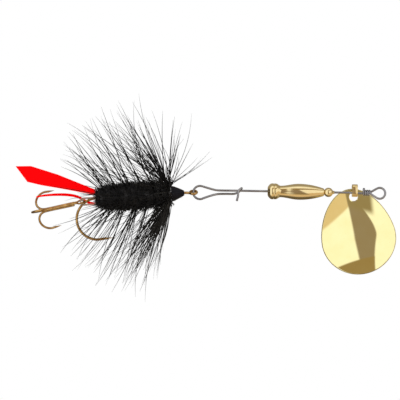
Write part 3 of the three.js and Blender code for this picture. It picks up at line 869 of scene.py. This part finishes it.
def build_tail():
    vertices, faces = slip_shape(WIDE_TOP, WIDE_BOTTOM, thickness=0.3, strands=9, side=-0.6, waves=0.06)
    wide = make("red_slip_wide", placed(vertices, FLY), faces, RED)
    settle(wide, "fly", "red_tail", "tail_slip_wide")
    s, _, z = curve([(s, 0, z) for s, z in NARROW_MIDDLE], 30).T
    half = np.interp(s, *zip(*NARROW_HALVES))
    edges = [np.column_stack([s, z + half]), np.column_stack([s, z - half])]
    vertices, faces = slip_shape(*edges, thickness=0.8, strands=2, side=1.1)
    narrow = make("red_slip_narrow", placed(vertices, FLY), faces, RED)
    settle(narrow, "fly", "red_tail", "tail_slip_narrow")


def build_tether():
    eye = placed([TREBLE_EYE], FLY.inverted())[0]
    start = -WOOL_REAR - 0.1
    far = eye[0] + TETHER_BEND
    bend = arc(far, eye[2], TETHER_BEND, 0.5 * math.pi, 1.5 * math.pi, 10)
    middle = (start + far) / 2
    up, down = eye[2] + TETHER_BEND, eye[2] - TETHER_BEND
    points = [(start, 0, up), (middle, 0, up), *bend, (middle, 0, down), (start, 0, down)]
    path = curve(points, 90)
    path[:, 1] = eye[1]
    vertices, faces = wire(path, TETHER_R)
    tether = make("nylon_tether", placed(vertices, FLY), faces, NYLON)
    settle(tether, "fly", "clear_nylon", "tether_loop")


def dress_hidden_nodes():
    """The thread under the wool keeps its CAD shape."""
    for name in ("underbody_thread", "tail_tie_wraps", "tether_tie_wraps"):
        node = frame["nodes"][name]
        node.data.materials.clear()
        node.data.materials.append(THREAD)


# ---- camera, light and floor ----
VIEW_WIDTH = 92.0
VIEW_CENTRE = (-41.3, 0.0, -2.3)
LENS = 200.0
SENSOR = 36.0
ROLL = math.radians(1.05)


def add_camera():
    """The photograph's viewing angle: level, side on, from far away, and rolled by a degree."""
    data = bpy.data.cameras.new("camera")
    data.lens = LENS
    data.sensor_width = SENSOR
    data.clip_start = 0.01
    distance = VIEW_WIDTH * LENS / SENSOR
    camera = bpy.data.objects.new("camera", data)
    right = Vector((math.cos(ROLL), 0, math.sin(ROLL)))
    up = Vector((-math.sin(ROLL), 0, math.cos(ROLL)))
    place = (Vector(VIEW_CENTRE) - Vector((0, distance, 0))) * MM
    matrix = Matrix((right, up, Vector((0, -1, 0)))).transposed().to_4x4()
    matrix.translation = place
    camera.matrix_world = matrix
    bpy.context.scene.collection.objects.link(camera)
    bpy.context.scene.camera = camera


class WorldMaths:
    """Small sums on the direction that a ray leaves in."""

    def __init__(self, nodes, links):
        self.nodes, self.links = nodes, links
        coordinates = nodes.new("ShaderNodeTexCoord")
        split = nodes.new("ShaderNodeSeparateXYZ")
        links.new(coordinates.outputs["Generated"], split.inputs[0])
        self.x, self.y, self.z = split.outputs

    def maths(self, operation, *values):
        """A Math node on numbers and sockets."""
        node = self.nodes.new("ShaderNodeMath")
        node.operation = operation
        for socket, value in zip(node.inputs, values):
            if isinstance(value, (int, float)):
                socket.default_value = value
            else:
                self.links.new(value, socket)
        return node.outputs[0]

    def plus(self, first, second, weight):
        return self.maths("MULTIPLY_ADD", second, weight, first)

    def weighted(self, x, z):
        return self.plus(self.maths("MULTIPLY", self.x, x), self.z, z)

    def times(self, *values):
        return reduce(lambda total, value: self.maths("MULTIPLY", total, value), values)

    def edge(self, value, low, high):
        """0 at low and 1 at high, with a smooth step between. low may be the larger of the two."""
        node = self.nodes.new("ShaderNodeMapRange")
        node.interpolation_type = "SMOOTHSTEP"
        node.inputs["From Min"].default_value = low
        node.inputs["From Max"].default_value = high
        self.links.new(value, node.inputs["Value"])
        return node.outputs["Result"]

    def paint(self, below, color, mask):
        mix = self.nodes.new("ShaderNodeMix")
        mix.data_type = "RGBA"
        self.links.new(below, mix.inputs["A"])
        mix.inputs["B"].default_value = (*color, 1)
        self.links.new(mask, mix.inputs["Factor"])
        return mix.outputs["Result"]


def add_world():
    """A white tent, which the camera sees as plain white. The metal also mirrors a dark ground, a warm table,
    a dim opening behind the camera with a shoulder below it and a roof above it, and a grey far side."""
    world = bpy.data.worlds.new("tent")
    bpy.context.scene.world = world
    world.use_nodes = True
    nodes, links = world.node_tree.nodes, world.node_tree.links
    nodes.clear()
    tent = WorldMaths(nodes, links)
    white = nodes.new("ShaderNodeRGB")
    white.outputs[0].default_value = (1.18, 1.18, 1.16, 1)
    color = white.outputs[0]
    ahead = tent.edge(tent.y, 0.0, -0.2)

    below = tent.times(tent.edge(tent.z, -0.25, -0.5), tent.edge(tent.y, -0.3, 0.1))
    color = tent.paint(color, (0.26, 0.23, 0.20), below)
    table = tent.times(tent.edge(tent.weighted(x=0.60, z=-1.0), 0.50, 0.54), ahead)
    color = tent.paint(color, (0.84, 0.67, 0.47), table)
    lower = tent.maths("MINIMUM", tent.z, 0.0)
    side = tent.plus(tent.weighted(x=1.0, z=-0.08), tent.times(lower, lower, lower), 3.4)
    gap_left = tent.times(tent.edge(side, -0.345, -0.305), tent.edge(tent.z, 0.80, 0.74))
    gap_right = tent.edge(tent.weighted(x=-1.0, z=-0.25), -0.18, -0.12)
    above_sill = tent.edge(tent.z, -0.68, -0.62)
    gap = tent.times(gap_left, gap_right, above_sill, ahead)
    color = tent.paint(color, (0.34, 0.27, 0.21), gap)
    shoulder = tent.times(tent.edge(tent.z, -0.34, -0.43), above_sill)
    shoulder = tent.times(shoulder, tent.edge(tent.x, -0.36, -0.26), gap_right, ahead)
    color = tent.paint(color, (0.34, 0.27, 0.17), shoulder)
    behind = tent.edge(tent.y, -0.35, 0.10)
    color = tent.paint(color, (0.42, 0.38, 0.31), behind)
    shade = tent.times(tent.edge(tent.weighted(x=-0.8, z=-1.0), 0.25, 0.45), behind)
    color = tent.paint(color, (0.16, 0.13, 0.09), shade)
    roof = tent.times(tent.edge(tent.weighted(x=-0.25, z=1.0), 0.45, 0.49), gap_left, ahead)
    color = tent.paint(color, (0.36, 0.26, 0.135), roof)

    light_path = nodes.new("ShaderNodeLightPath")
    seen = nodes.new("ShaderNodeMix")
    seen.data_type = "RGBA"
    links.new(light_path.outputs["Is Camera Ray"], seen.inputs["Factor"])
    links.new(color, seen.inputs["A"])
    seen.inputs["B"].default_value = (1, 1, 1, 1)
    background = nodes.new("ShaderNodeBackground")
    links.new(seen.outputs["Result"], background.inputs["Color"])
    output = nodes.new("ShaderNodeOutputWorld")
    links.new(background.outputs["Background"], output.inputs["Surface"])


FLOOR_Z = -62.0
FLOOR_HALF = 4000.0


def add_floor():
    """A plain white floor, well below the lure, which hangs from its line tie."""
    material = bpy.data.materials.new("white_floor")
    material.use_nodes = True
    nodes = material.node_tree.nodes
    nodes.clear()
    glow = nodes.new("ShaderNodeEmission")
    glow.inputs["Color"].default_value = (1, 1, 1, 1)
    output = nodes.new("ShaderNodeOutputMaterial")
    material.node_tree.links.new(glow.outputs[0], output.inputs["Surface"])
    sides = ((-1, -1), (1, -1), (1, 1), (-1, 1))
    corners = [(x * FLOOR_HALF, y * FLOOR_HALF, FLOOR_Z) for x, y in sides]
    floor = make("floor", corners, [[0, 1, 2, 3]], material)
    floor.visible_glossy = False
    floor.visible_diffuse = False
    floor.visible_transmission = False
    floor.visible_shadow = False


add_camera()
add_world()
add_floor()
bpy.context.scene.view_settings.view_transform = "Standard"

build_wire()
build_clevis()
build_blade()
build_turned()
build_fly_hook()
build_head()
build_wool()
build_hackle()
build_tail()
build_tether()
build_treble()
dress_hidden_nodes()

bpy.context.view_layer.update()
